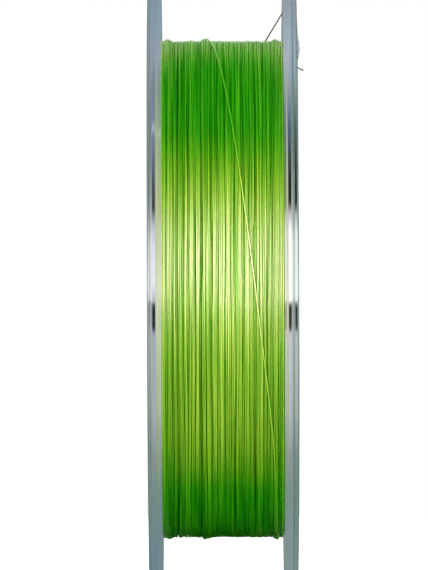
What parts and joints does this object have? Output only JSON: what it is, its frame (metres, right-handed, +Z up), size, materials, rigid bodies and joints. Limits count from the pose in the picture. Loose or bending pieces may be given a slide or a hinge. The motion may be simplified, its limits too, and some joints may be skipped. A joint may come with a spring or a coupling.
{
  "type": "fishing line spool",
  "caption": "Clear plastic spool wound with bright green braided fishing line, its free end led through the flange and held down by a strip of clear tape.",
  "frame": {"origin": "on the spool's axis, midway between its two flanges", "axes": "+X along the spool's axis towards the flange that carries the line's tail, +Z up as it stands on its rims, -Y the front"},
  "size_m": [0.0265, 0.102, 0.102],
  "materials": {
    "clear_plastic": "clear polystyrene, polished by the mould",
    "green_line": "braided fibre, waxy sheen",
    "clear_tape": "clear film tape",
    "paper_tape": "matt film tape"
  },
  "bodies": {
    "root": {"left_half": "clear_plastic", "right_half": "clear_plastic", "start_tape": "paper_tape", "inner_layers": "green_line", "outer_layer": "green_line", "crossing_turn": "green_line", "line_tail": "green_line", "tail_tape": "clear_tape"}
  },
  "joints": []
}
